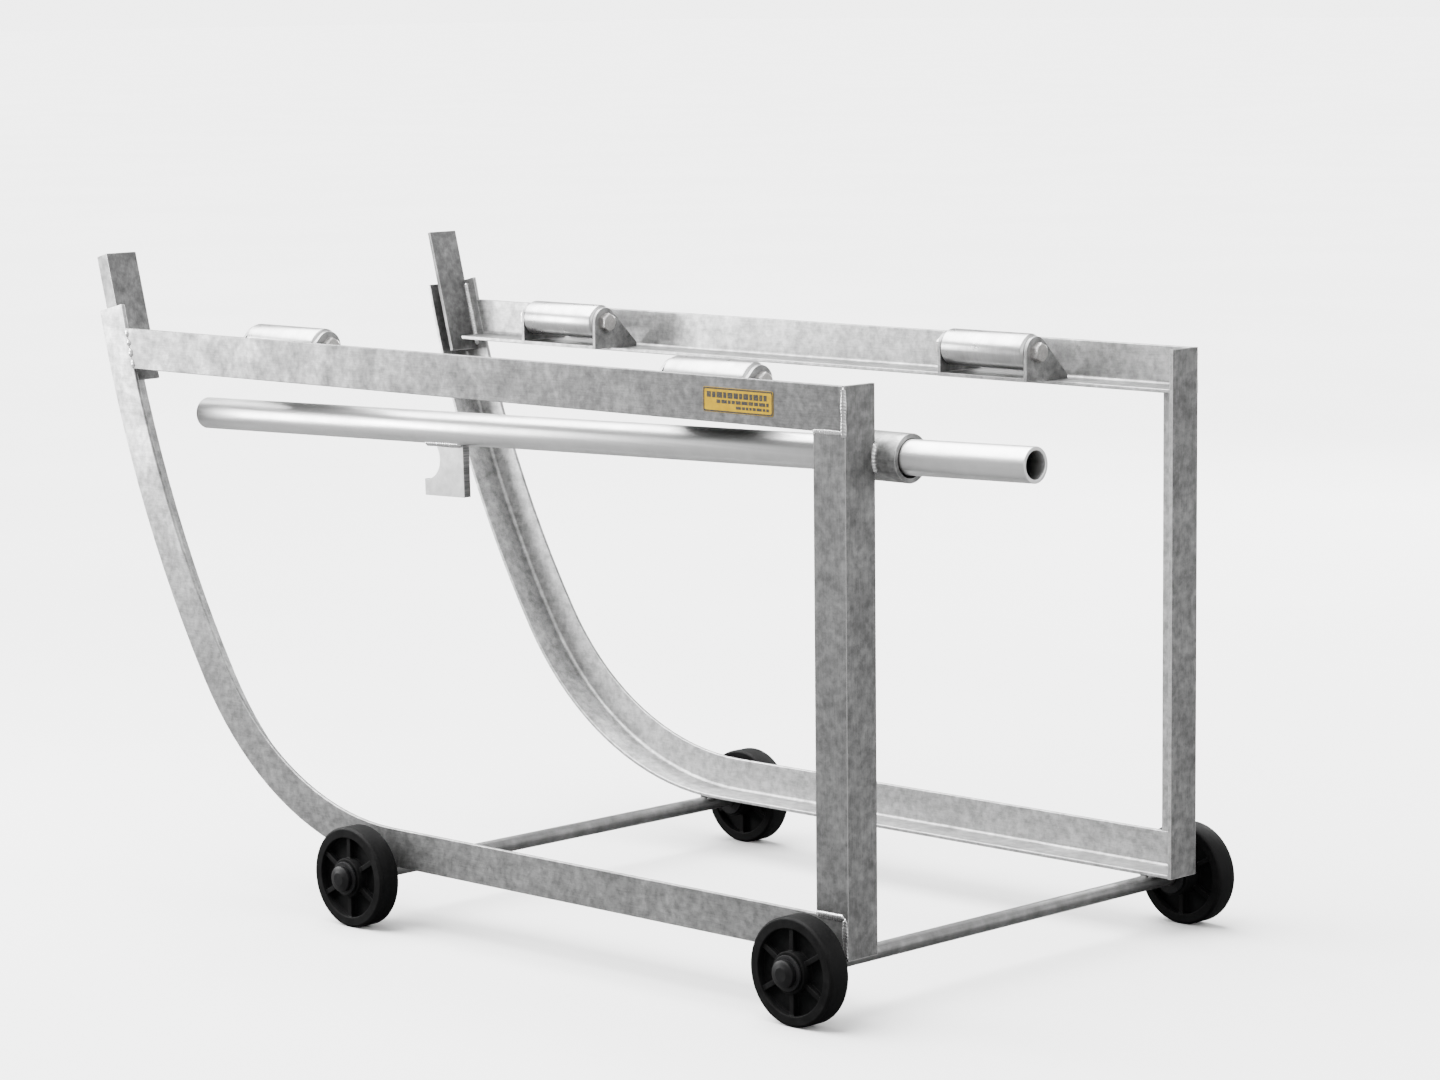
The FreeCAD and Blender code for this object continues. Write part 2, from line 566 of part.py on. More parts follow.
def lever_frame(ahead=0.0):
    """A point of the lever's axis this far ahead of the sleeve's rear end, with X along the lever."""
    turn = Rotation(Vector(0, 1, 0), -size["lever_droop"])
    rear = Vector(sleeve_x, -size["lever_offset"], size["lever_height"])
    return rear - turn.multVec(Vector(ahead, 0, 0)), turn


def lever_tube():
    """Plain tube, open at both ends, hanging a little nose-down in its sleeve."""
    base, turn = lever_frame(size["lever_length"] - size["lever_overhang"])
    body = new_body("lever_tube_body", base, turn)
    section = new_sketch(body, "lever_tube_section", "YZ_Plane")
    circle(section, "=lever_dia / 2")
    circle(section, "=lever_dia / 2 - =lever_wall")
    add_feature(body, "Pad", "lever_tube_pad", section, Length="=lever_length")
    return sub_part(body, "lever_tube")


def lever_hook_plate():
    """Plate welded under the lever; its throat opens forwards and takes the rim of the drum."""
    base, turn = lever_frame()
    body = new_body("hook_plate_body", base, turn)
    outline = new_sketch(body, "hook_outline", "XZ_Plane")
    front = "-(=hook_front + =hook_length)"
    inside_tube = "-=lever_dia / 4"
    polygon(outline, [(front, "-=hook_drop"), ("-=hook_front", "-=hook_drop"),
                      ("-=hook_front", inside_tube), (front, inside_tube)])
    add_feature(body, "Pad", "hook_pad", outline, Length="=hook_thick", Midplane=True)
    throat = new_sketch(body, "hook_throat", "XZ_Plane")
    circle(throat, "=throat_radius", "-(=hook_front + =throat_ahead)", "-=throat_drop")
    cut_through(body, "hook_throat_cut", throat)
    seat = new_sketch(body, "hook_seat", "YZ_Plane")
    circle(seat, "=lever_dia / 2")
    cut_through(body, "hook_seat_cut", seat)
    return sub_part(body, "lever_hook_plate")


def lever_sleeve():
    """Plain tube welded into the saddle of the left post's rear flange."""
    base = Vector(sleeve_x - size["sleeve_length"], -size["lever_offset"], sleeve_height)
    tube = ring("lever_sleeve", "=sleeve_dia / 2", "=sleeve_bore / 2", "=sleeve_length", base, ALONG_X)
    return sub_part(tube, "lever_sleeve")


def rating_label():
    """Thin label on the left top rail's outer face."""
    label = doc.addObject("Part::Box", "label_sheet")
    bind(label, Length="=label_length", Width="=label_thick", Height="=label_height")
    low = size["rail_top"] - size["rail_face"] + size["label_low"]
    label.Placement = Placement(Vector(size["post_end"] - size["label_inset"],
                                       -size["frame_width"] / 2 - size["label_thick"], low), Rotation())
    return sub_part(label, "rating_label")


def build():
    for side, way in SIDES:
        runner(side, way)
        top_rail(side, way)
        post(side, way)
        drum_stop(side, way)
    for end in ENDS:
        axle(end)
        for side, way in SIDES:
            wheel(side, way, end)
            wheel_bushing(side, way, end)
            roller_bracket(side, way, end)
            roller(side, way, end)
    axle_washers()
    axle_caps()
    roller_fasteners()
    lever_tube()
    lever_hook_plate()
    lever_sleeve()
    rating_label()
    doc.recompute()


def check():
    """Stop on any failed object or unusable shape, before anything is written."""
    failed = [item.Name for item in doc.Objects if "Invalid" in item.State or "Error" in item.State]
    failed += [item.Label for item in subparts if item.Shape.isNull() or not item.Shape.isValid()]
    if failed:
        raise RuntimeError("failed objects: " + ", ".join(failed))


def export():
    os.makedirs("parts", exist_ok=True)
    whole = FreeCAD.BoundBox()
    for item in subparts:
        item.Shape.exportStep("parts/%s.step" % item.Label)
        box = item.Shape.optimalBoundingBox(False, False)
        whole.add(box)
        print("%-30s solids %d  volume %.0f mm3" % (item.Label, len(item.Shape.Solids), item.Shape.Volume))
    print("sub-parts:", len(subparts))
    print("box from (%.2f, %.2f, %.2f) to (%.2f, %.2f, %.2f)" % (
        whole.XMin, whole.YMin, whole.ZMin, whole.XMax, whole.YMax, whole.ZMax))


build()
check()
export()
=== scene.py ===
import math
import random

import bmesh
import bpy
from mathutils import Matrix, Vector


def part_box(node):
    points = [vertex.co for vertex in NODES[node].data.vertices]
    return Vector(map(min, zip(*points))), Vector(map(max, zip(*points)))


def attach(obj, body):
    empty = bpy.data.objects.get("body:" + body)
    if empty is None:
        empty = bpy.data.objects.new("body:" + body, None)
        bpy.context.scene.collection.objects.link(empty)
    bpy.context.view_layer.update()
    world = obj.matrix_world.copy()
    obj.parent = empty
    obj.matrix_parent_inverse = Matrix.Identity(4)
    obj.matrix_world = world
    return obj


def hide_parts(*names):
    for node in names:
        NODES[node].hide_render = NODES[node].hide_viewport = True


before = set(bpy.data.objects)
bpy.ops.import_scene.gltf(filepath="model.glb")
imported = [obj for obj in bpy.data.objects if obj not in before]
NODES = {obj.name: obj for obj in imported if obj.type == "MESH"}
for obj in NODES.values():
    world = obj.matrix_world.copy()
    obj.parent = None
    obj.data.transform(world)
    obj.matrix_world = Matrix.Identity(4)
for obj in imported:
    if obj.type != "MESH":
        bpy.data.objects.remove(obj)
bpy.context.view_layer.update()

# The looks of the drum dolly round its CAD nodes: their finishes, the weld beads, the threaded bolts and
# nuts, the label's plain print, and the floor, light and camera.
MM = 0.001
SIDES = (("left", -1), ("right", 1))
ENDS = ("front", "rear")

# Angles of the side frames that the boxes of the nodes don't give, in degrees, and a flange width.
TOE_LEAN_AT_RAIL = 15.2
STOP_LEAN = 14.9
STOP_LIP = 14 * MM

# Strength of the surroundings: towards the toes, towards the posts, and where they are seen directly.
WORLD_AHEAD = 0.35
WORLD_BEHIND = 2.6
WORLD_SEEN = 4.6
# Grey level of the floor in the metal's reflections, and strength of the light from above.
FLOOR_BOUNCE = 0.11
OVERHEAD = 15.5


# ---------------------------------------------------------------- node helpers

class Shader:
    """A small wrapper that adds nodes to one material and links them."""

    def __init__(self, name):
        self.material = bpy.data.materials.new(name)
        self.material.use_nodes = True
        self.tree = self.material.node_tree
        self.tree.nodes.clear()
        self.surface = self.tree.nodes.new("ShaderNodeBsdfPrincipled")
        output = self.tree.nodes.new("ShaderNodeOutputMaterial")
        self.tree.links.new(self.surface.outputs["BSDF"], output.inputs["Surface"])
        self.place = self.add("ShaderNodeTexCoord").outputs["Object"]

    def add(self, kind, **settings):
        node = self.tree.nodes.new(kind)
        for key, value in settings.items():
            setattr(node, key, value)
        return node

    def feed(self, socket, value):
        """Link an output to the socket, or set a plain value on it."""
        if isinstance(value, bpy.types.NodeSocket):
            self.tree.links.new(value, socket)
        else:
            socket.default_value = value

    def stretched(self, scale):
        """The object's coordinates, scaled along each axis."""
        node = self.add("ShaderNodeMapping")
        self.feed(node.inputs["Vector"], self.place)
        node.inputs["Scale"].default_value = scale
        return node.outputs["Vector"]

    def noise(self, scale, detail=4.0, rough=0.55, distortion=0.0, vector=None):
        node = self.add("ShaderNodeTexNoise")
        self.feed(node.inputs["Vector"], vector if vector is not None else self.place)
        node.inputs["Scale"].default_value = scale
        node.inputs["Detail"].default_value = detail
        node.inputs["Roughness"].default_value = rough
        node.inputs["Distortion"].default_value = distortion
        return node.outputs["Fac"]

    def cells(self, scale):
        node = self.add("ShaderNodeTexVoronoi")
        self.feed(node.inputs["Vector"], self.place)
        node.inputs["Scale"].default_value = scale
        return node.outputs["Distance"]

    def ramp(self, value, stops):
        """Colour ramp; stops are (place, colour or grey level)."""
        node = self.add("ShaderNodeValToRGB")
        elements = node.color_ramp.elements
        while len(elements) < len(stops):
            elements.new(0.5)
        for element, (place, colour) in zip(elements, stops):
            if not isinstance(colour, tuple):
                colour = grey(colour)
            element.position = place
            element.color = opaque(colour)
        self.feed(node.inputs["Fac"], value)
        return node.outputs["Color"]

    def range(self, value, low, high, to_low=0.0, to_high=1.0):
        node = self.add("ShaderNodeMapRange")
        self.feed(node.inputs["Value"], value)
        node.inputs["From Min"].default_value = low
        node.inputs["From Max"].default_value = high
        node.inputs["To Min"].default_value = to_low
        node.inputs["To Max"].default_value = to_high
        return node.outputs["Result"]

    def sum(self, first, second):
        return self.math("ADD", first, second)

    def product(self, first, second):
        return self.math("MULTIPLY", first, second)

    def facing(self, axis):
        """How far the surface faces along one of the object's own axes, from -1 to 1."""
        split = self.add("ShaderNodeSeparateXYZ")
        self.feed(split.inputs[0], self.add("ShaderNodeTexCoord").outputs["Normal"])
        return split.outputs[axis]

    def mix(self, factor, first, second, blend="MIX"):
        node = self.add("ShaderNodeMix", data_type="RGBA", blend_type=blend)
        self.feed(node.inputs[0], factor)
        self.feed(node.inputs[6], first)
        self.feed(node.inputs[7], second)
        return node.outputs[2]

    def math(self, operation, first, second=0.0):
        node = self.add("ShaderNodeMath", operation=operation)
        self.feed(node.inputs[0], first)
        self.feed(node.inputs[1], second)
        return node.outputs[0]

    def edge(self, radius):
        """Bright along edges: how far the rounded normal leans from the flat one."""
        bevel = self.add("ShaderNodeBevel", samples=6)
        bevel.inputs["Radius"].default_value = radius
        geometry = self.add("ShaderNodeNewGeometry")
        dot = self.add("ShaderNodeVectorMath", operation="DOT_PRODUCT")
        self.feed(dot.inputs[0], bevel.outputs["Normal"])
        self.feed(dot.inputs[1], geometry.outputs["Normal"])
        return self.range(dot.outputs["Value"], 0.995, 0.9)

    def shelter(self, distance):
        """Painted shade: dark in crevices and bores, light on open faces."""
        node = self.add("ShaderNodeAmbientOcclusion", samples=6)
        node.inputs["Distance"].default_value = distance
        return node.outputs["AO"]

    def bump(self, height, strength, distance, after=None):
        node = self.add("ShaderNodeBump")
        node.inputs["Strength"].default_value = strength
        node.inputs["Distance"].default_value = distance
        self.feed(node.inputs["Height"], height)
        if after is not None:
            self.feed(node.inputs["Normal"], after)
        return node.outputs["Normal"]

    def finish(self, **inputs):
        """Feed the named inputs of the surface and return the material."""
        names = {"colour": "Base Color", "metal": "Metallic", "rough": "Roughness", "normal": "Normal",
                 "specular": "Specular IOR Level"}
        for key, value in inputs.items():
            self.feed(self.surface.inputs[names[key]], value)
        return self.material


def grey(level, warm=0.0):
    return (level * (1 + warm), level, level * (1 - warm))


def opaque(colour):
    return colour + (1.0,)


# ---------------------------------------------------------------- materials

def zinc(name, along, bright=1.0, inner=0):
    """Dull zinc over hot-rolled stock: cloudy blotches, pits, and faint streaks along the stock.

    inner is the Y direction in which the inner faces of the angle look; painted light makes them
    brighter.
    """
    shader = Shader(name)
    streak_scale = tuple(60.0 if axis == along else 900.0 for axis in "xyz")
    clouds = shader.noise(34.0, detail=5.0, rough=0.62, distortion=0.6)
    blotches = shader.noise(150.0, detail=4.0, rough=0.6)
    speckle = shader.noise(1100.0, detail=2.0)
    streaks = shader.noise(1.0, detail=3.0, vector=shader.stretched(streak_scale))
    colour = shader.ramp(clouds, [(0.30, 0.18 * bright), (0.52, 0.26 * bright), (0.72, 0.38 * bright)])
    if inner:
        # Painted light: faces that look along inner are mixed towards light grey.
        painted_inner_light = shader.range(shader.product(shader.facing("Y"), inner), 0.6, 0.9, 0.0, 0.52)
        colour = shader.mix(painted_inner_light, colour, opaque(grey(0.72)))
    layers = (
        (0.55, blotches, [(0.33, 0.26), (0.5, 0.52), (0.68, 0.84)]),
        (0.35, streaks, [(0.35, 0.38), (0.62, 0.66)]),
        (0.25, speckle, [(0.35, 0.35), (0.65, 0.65)]),
    )
    for strength, pattern, stops in layers:
        colour = shader.mix(strength, colour, shader.ramp(pattern, stops), "OVERLAY")
    # Painted shade: crevices and hollows found by ambient occlusion are darkened towards near black.
    crevice_shade = shader.range(shader.shelter(0.045), 0.35, 0.85, 0.42, 0.0)
    crevice_shaded = shader.mix(crevice_shade, colour, opaque(grey(0.035)))
    worn = shader.mix(shader.product(shader.edge(0.0010), 0.65), crevice_shaded, opaque(grey(0.72)))
    dull = shader.range(clouds, 0.3, 0.7, 0.50, 0.36)
    rough = shader.sum(dull, shader.range(speckle, 0.3, 0.7, -0.04, 0.05))
    height = shader.sum(shader.product(blotches, 0.6), shader.product(speckle, 0.25))
    grain = shader.bump(height, strength=0.35, distance=0.0004)
    normal = shader.bump(streaks, strength=0.12, distance=0.0002, after=grain)
    return shader.finish(colour=worn, metal=0.85, rough=rough, normal=normal)


def weld_zinc():
    """Plated weld metal: brighter than the stock, with a fine ripple and small pits."""
    shader = Shader("weld_zinc")
    blotches = shader.noise(420.0, detail=3.0)
    pits = shader.cells(900.0)
    colour = shader.ramp(blotches, [(0.3, 0.52), (0.55, 0.74), (0.75, 0.92)])
    normal = shader.bump(shader.sum(blotches, shader.product(pits, 0.5)), 0.35, 0.0004)
    rough = shader.range(blotches, 0.3, 0.7, 0.38, 0.24)
    return shader.finish(colour=colour, metal=0.95, rough=rough, normal=normal)


def axle_steel():
    """Drawn rod under thin plate: fine lines along its length and a few dull patches."""
    shader = Shader("axle_steel")
    lines = shader.noise(1.0, detail=4.0, vector=shader.stretched((1400.0, 25.0, 1400.0)))
    patches = shader.noise(60.0, detail=4.0, rough=0.6)
    base = shader.ramp(patches, [(0.32, 0.15), (0.55, 0.22), (0.75, 0.31)])
    colour = shader.mix(0.3, base, shader.ramp(lines, [(0.35, 0.35), (0.65, 0.68)]), "OVERLAY")
    rough = shader.range(patches, 0.3, 0.7, 0.48, 0.34)
    normal = shader.bump(lines, 0.2, 0.0002)
    return shader.finish(colour=colour, metal=0.9, rough=rough, normal=normal)


def bright_tube():
    """Bright plated pipe: long fine die lines, faint clouding and a few rubbed scratches; painted shade
    darkens its bore.
    """
    shader = Shader("bright_tube")
    lines = shader.noise(1.0, detail=5.0, vector=shader.stretched((9.0, 700.0, 700.0)))
    clouds = shader.noise(26.0, detail=4.0, rough=0.6)
    rubs = shader.noise(1.0, detail=2.0, vector=shader.stretched((260.0, 60.0, 60.0)))
    base = shader.ramp(clouds, [(0.3, 0.78), (0.55, 0.89), (0.75, 0.97)])
    lined = shader.mix(0.32, base, shader.ramp(lines, [(0.33, 0.28), (0.66, 0.72)]), "OVERLAY")
    rubbed = shader.mix(0.18, lined, shader.ramp(rubs, [(0.4, 0.36), (0.65, 0.64)]), "OVERLAY")
    # Painted shade: the bore and other sheltered faces are mixed towards near black.
    open_face = shader.range(shader.shelter(0.06), 0.20, 0.55)
    colour = shader.mix(open_face, opaque(grey(0.03)), rubbed)
    dull = shader.range(clouds, 0.3, 0.7, 0.40, 0.31)
    rough = shader.sum(dull, shader.range(lines, 0.3, 0.7, -0.03, 0.05))
    normal = shader.bump(lines, 0.16, 0.00025)
    return shader.finish(colour=colour, metal=0.95, rough=rough, normal=normal)


def bright_plate():
    """Plated plate: clouded faces and flame-cut edges with drag lines across the thickness."""
    shader = Shader("bright_plate")
    on_edge = shader.range(shader.math("ABSOLUTE", shader.facing("Y")), 0.5, 0.3)
    drag = shader.noise(1.0, detail=2.0, vector=shader.stretched((900.0, 30.0, 900.0)))
    clouds = shader.noise(90.0, detail=4.0, rough=0.6)
    face = shader.ramp(clouds, [(0.3, 0.42), (0.55, 0.56), (0.75, 0.70)])
    cut = shader.ramp(drag, [(0.3, 0.12), (0.7, 0.28)])
    colour = shader.mix(on_edge, face, cut)
    height = shader.sum(shader.product(drag, on_edge), shader.product(clouds, 0.3))
    rough = shader.range(clouds, 0.3, 0.7, 0.42, 0.32)
    return shader.finish(colour=colour, metal=0.9, rough=rough, normal=shader.bump(height, 0.5, 0.0004))


def roller_steel():
    """Bright turned steel: fine turning marks round the roller."""
    shader = Shader("roller_steel")
    marks = shader.noise(1.0, detail=3.0, vector=shader.stretched((1600.0, 12.0, 12.0)))
    smears = shader.noise(70.0, detail=4.0)
    base = shader.ramp(smears, [(0.3, 0.52), (0.55, 0.66), (0.75, 0.76)])
    colour = shader.mix(0.3, base, shader.ramp(marks, [(0.35, 0.35), (0.65, 0.68)]), "OVERLAY")
    rough = shader.range(smears, 0.3, 0.7, 0.36, 0.26)
    return shader.finish(colour=colour, metal=1.0, rough=rough, normal=shader.bump(marks, 0.25, 0.0002))


def fastener_zinc():
    """Bright zinc on small hardware, a little yellowed, rubbed on the corners."""
    shader = Shader("fastener_zinc")
    clouds = shader.noise(240.0, detail=3.0)
    colour = shader.ramp(clouds, [(0.3, grey(0.46, 0.02)), (0.7, grey(0.66, 0.03))])
    worn = shader.mix(shader.product(shader.edge(0.0006), 0.6), colour, opaque(grey(0.8)))
    rough = shader.range(clouds, 0.3, 0.7, 0.36, 0.25)
    return shader.finish(colour=worn, metal=0.95, rough=rough, normal=shader.bump(clouds, 0.15, 0.0002))


def moulded(name, colour, rough, specular, dust):
    """Dark moulded plastic or rubber: fine grain, a few scuffs and a little dust."""
    shader = Shader(name)
    grain = shader.noise(1400.0, detail=2.0)
    scuffs = shader.noise(1.0, detail=4.0, rough=0.65, vector=shader.stretched((120.0, 320.0, 120.0)))
    dusty = tuple(level + dust for level in colour)
    base = shader.ramp(scuffs, [(0.42, colour), (0.68, dusty)])
    roughness = shader.range(scuffs, 0.35, 0.7, rough - 0.06, rough + 0.10)
    height = shader.sum(shader.product(grain, 0.5), scuffs)
    return shader.finish(colour=base, rough=roughness, specular=specular,
                         normal=shader.bump(height, 0.25, 0.0003))


def label_vinyl():
    """Yellow vinyl film with faint clouding and wrinkles."""
    shader = Shader("label_yellow")
    clouds = shader.noise(160.0, detail=4.0)
    wrinkles = shader.noise(1.0, detail=2.0, vector=shader.stretched((90.0, 90.0, 260.0)))
    colour = shader.ramp(clouds, [(0.3, (0.44, 0.26, 0.0)), (0.6, (0.55, 0.34, 0.0)),
                                  (0.8, (0.63, 0.40, 0.0))])
    rough = shader.range(clouds, 0.3, 0.7, 0.46, 0.36)
    return shader.finish(colour=colour, rough=rough, specular=0.15,
                         normal=shader.bump(wrinkles, 0.2, 0.0003))


def label_ink():
    """Black print on the label, worn thin in places."""
    shader = Shader("label_ink")
    wear = shader.noise(900.0, detail=3.0)
    colour = shader.ramp(wear, [(0.45, 0.012), (0.75, (0.10, 0.075, 0.015))])
    return shader.finish(colour=colour, rough=shader.range(wear, 0.3, 0.7, 0.5, 0.42),
                         normal=shader.bump(wear, 0.1, 0.0001))


MATERIALS = {
    # The bright factors make lit and shaded copies of one zinc: painted light and shade, part by part.
    "left_runner": zinc("zinc_steel_left_runner", "x", bright=1.1, inner=1),
    "right_runner": zinc("zinc_steel_right_runner", "x", bright=1.1, inner=-1),
    "left_rail": zinc("zinc_steel_left_rail", "x", bright=0.74, inner=1),
    "right_rail": zinc("zinc_steel_right_rail", "x", bright=0.74, inner=-1),
    "left_upright": zinc("zinc_steel_left_upright", "z", bright=0.8, inner=1),
    "right_upright": zinc("zinc_steel_right_upright", "z", bright=0.8, inner=-1),
    # Painted shade: the drum stops get a darker copy of the zinc.
    "stop": zinc("zinc_steel_stop_painted_shade", "z", bright=0.55),
    "sheet": zinc("zinc_steel_sheet", "x", bright=1.15),
    "weld": weld_zinc(),
    "axle": axle_steel(),
    "tube": bright_tube(),
    "plate": bright_plate(),
    "roller": roller_steel(),
    "fastener": fastener_zinc(),
    "wheel": moulded("wheel_black", (0.0018, 0.0018, 0.0019), 0.60, 0.10, 0.003),
    "bushing": moulded("bushing_nylon", (0.007, 0.007, 0.0075), 0.48, 0.2, 0.006),
    "cap": moulded("cap_black", (0.0025, 0.0025, 0.0028), 0.42, 0.2, 0.003),
    "label": label_vinyl(),
    "ink": label_ink(),
}

# Endings of the names of the nodes with each finish. The nodes that fit none are replaced by pieces.
FINISHES = {
    "left_runner": ("left_runner",),
    "right_runner": ("right_runner",),
    "left_rail": ("left_top_rail",),
    "right_rail": ("right_top_rail",),
    "left_upright": ("left_post",),
    "right_upright": ("right_post",),
    "stop": ("drum_stop",),
    "sheet": ("roller_bracket", "lever_sleeve"),
    "axle": ("front_axle", "rear_axle"),
    "tube": ("lever_tube",),
    "plate": ("lever_hook_plate",),
    "roller": ("roller",),
    "wheel": ("wheel",),
    "bushing": ("bushing", "axle_washers"),
    "cap": ("axle_caps",),
}

# Width in mm of the rounding along sharp edges.
EDGE_WIDTHS = {
    "left_runner": 0.7, "right_runner": 0.7, "left_rail": 0.7, "right_rail": 0.7,
    "left_upright": 0.7, "right_upright": 0.7, "stop": 0.7, "sheet": 0.5,
    "axle": 0.8, "tube": 0.4, "plate": 0.6, "roller": 0.5, "wheel": 0.7, "bushing": 0.3, "cap": 0.8,
}


def finish_of(node):
    return next((key for key, endings in FINISHES.items() if node.endswith(endings)), None)


def soften_edges(item, width):
    """Close the seams between faces, then round the sharp edges a little."""
    weld = item.modifiers.new("join", "WELD")
    weld.merge_threshold = 0.01 * MM
    bevel = item.modifiers.new("edges", "BEVEL")
    bevel.width = width * MM
    bevel.segments = 2
    bevel.limit_method = "ANGLE"
    bevel.angle_limit = math.radians(40)


def dress_nodes():
    for node, item in NODES.items():
        key = finish_of(node)
        if key is None:
            continue
        for slot in item.material_slots:
            slot.material = MATERIALS[key]
        soften_edges(item, EDGE_WIDTHS[key])


# ---------------------------------------------------------------- pieces

def add_piece(name, mesh_maker, material, body="frame", smooth=True):
    """A new object from a bmesh, riding on a body, with the named finish from MATERIALS."""
    mesh = bpy.data.meshes.new(name)
    bmesh.ops.recalc_face_normals(mesh_maker, faces=mesh_maker.faces)
    mesh_maker.to_mesh(mesh)
    mesh_maker.free()
    mesh.polygons.foreach_set("use_smooth", [smooth] * len(mesh.polygons))
    piece = bpy.data.objects.new(name, mesh)
    bpy.context.scene.collection.objects.link(piece)
    mesh.materials.append(MATERIALS[material])
    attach(piece, body)
    return piece


def skin(maker, rings, close_ends=True):
    """Join rings of equal length into a tube, closed at its ends unless told otherwise."""
    rows = [[maker.verts.new(spot) for spot in ring] for ring in rings]
    count = len(rows[0])
    for here, there in zip(rows, rows[1:]):
        for n in range(count):
            following = (n + 1) % count
            maker.faces.new((here[n], here[following], there[following], there[n]))
    if close_ends:
        maker.faces.new(rows[0])
        maker.faces.new(rows[-1])


# Weld beads: distance between their rings, points round a ring, and distance between ripples.
BEAD_STEP = 0.6 * MM
BEAD_SIDES = 12
RIPPLE_PITCH = 2.3 * MM


def walk(route, step):
    """Points and directions at even steps along a route."""
    spots = []
    for start, end in zip(route, route[1:]):
        length = (end - start).length
        count = max(1, round(length / step))
        way = (end - start).normalized()
        spots += [(start.lerp(end, n / count), way) for n in range(count)]
    spots.append((route[-1], way))
    return spots


def bead(maker, route, lean, half_width, height, seed):
    """Lay one weld bead: overlapping ripples, uneven in width, tapered at both ends.

    The bead stands up from its route along lean, a vector of about unit length.
    """
    chance = random.Random(seed)
    waves = [(chance.uniform(90, 420), chance.uniform(0, 2 * math.pi)) for _ in range(4)]
    spots = walk(route, BEAD_STEP)
    total = BEAD_STEP * (len(spots) - 1)
    rings = []
    for number, (spot, way) in enumerate(spots):
        along = number * BEAD_STEP
        side = way.cross(lean).normalized()
        wander = sum(math.sin(rate * along + phase) for rate, phase in waves) / len(waves)
        ripple = (along / RIPPLE_PITCH) % 1.0
        taper = min(1.0, 0.25 + min(along, total - along) / (2.2 * MM))
        wide = half_width * taper * (1 + 0.16 * wander - 0.10 * ripple)
        high = height * taper * (1 + 0.22 * wander - 0.28 * ripple)
        ring = []
        for n in range(BEAD_SIDES):
            angle = 2 * math.pi * n / BEAD_SIDES
            drag = way * (0.45 * RIPPLE_PITCH * math.cos(angle) ** 2)
            ring.append(spot + side * (wide * math.cos(angle)) + lean * (high * math.sin(angle)) - drag)
        rings.append(ring)
    skin(maker, rings)


class SideFrame:
    """Places on one side frame that its welds are laid along; way is the outward Y direction."""

    def __init__(self, side, way):
        self.side = side
        self.way = way
        self.post_low, self.post_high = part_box(side + "_post")
        self.rail_low, self.rail_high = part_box(side + "_top_rail")
        self.sill_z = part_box(side + "_runner")[0].z
        self.stock = self.post_high.x - self.post_low.x
        self.thick = self.post_high.x - self.rail_high.x
        self.face = way * max(abs(self.post_low.y), abs(self.post_high.y))
        self.seam = self.rail_high.x
        self.outward = Vector((0, way, 0))
        self.seed = 40 if way > 0 else 20

    def on_face(self, x, z):
        """A point on the outer face of the side frame."""
        return Vector((x, self.face, z))

    def flange_seam(self, z):
        """Where a lower flange, its top at that height, meets the inside of the post."""
        inner = self.face - self.way * (self.stock - 2 * MM)
        outer = self.face - self.way * 5 * MM
        return [Vector((self.seam, inner, z)), Vector((self.seam, outer, z))]


INTO_CORNER = Vector((-0.7, 0, 0.7))


def rail_post_weld(at):
    beads = bmesh.new()
    corner = at.post_high.x - at.thick / 2
    bead(beads, [at.on_face(corner, at.rail_low.z - 3 * MM), at.on_face(corner, at.rail_high.z - 1 * MM)],
         Vector((0.35, at.way * 0.94, 0)), 2.3 * MM, 1.3 * MM, at.seed)
    bead(beads, [at.on_face(at.post_low.x, at.rail_low.z), at.on_face(at.seam, at.rail_low.z)],
         at.outward, 1.7 * MM, 0.35 * MM, at.seed + 1)
    bead(beads, at.flange_seam(at.rail_low.z + at.thick), INTO_CORNER, 2.4 * MM, 1.8 * MM, at.seed + 2)
    add_piece(at.side + "_rail_post_weld", beads, "weld")


def sill_post_weld(at):
    beads = bmesh.new()
    top = at.sill_z + at.stock
    bead(beads, [at.on_face(at.seam, at.sill_z + 1 * MM), at.on_face(at.seam, top)],
         at.outward, 2.8 * MM, 1.0 * MM, at.seed + 3)
    bead(beads, [at.on_face(at.post_low.x, top), at.on_face(at.seam, top)],
         at.outward, 2.6 * MM, 1.0 * MM, at.seed + 4)
    bead(beads, at.flange_seam(at.sill_z + at.thick), INTO_CORNER, 2.4 * MM, 1.8 * MM, at.seed + 5)
    add_piece(at.side + "_sill_post_weld", beads, "weld")


def rail_toe_weld(at):
    """Four short beads up the slanted end of the top rail; each covers a share of its height."""
    beads = bmesh.new()
    mitre = math.tan(math.radians(TOE_LEAN_AT_RAIL)) * (at.rail_high.z - at.rail_low.z)
    foot = at.on_face(at.rail_low.x + mitre, at.rail_low.z)
    top = at.on_face(at.rail_low.x, at.rail_high.z)
    shares = ((0.04, 0.24), (0.31, 0.52), (0.58, 0.74), (0.80, 0.97))
    for number, (low_share, high_share) in enumerate(shares):
        bead(beads, [foot.lerp(top, low_share), foot.lerp(top, high_share)],
             at.outward, 2.4 * MM, 1.3 * MM, at.seed + 7 + number)
    add_piece(at.side + "_rail_toe_weld", beads, "weld")


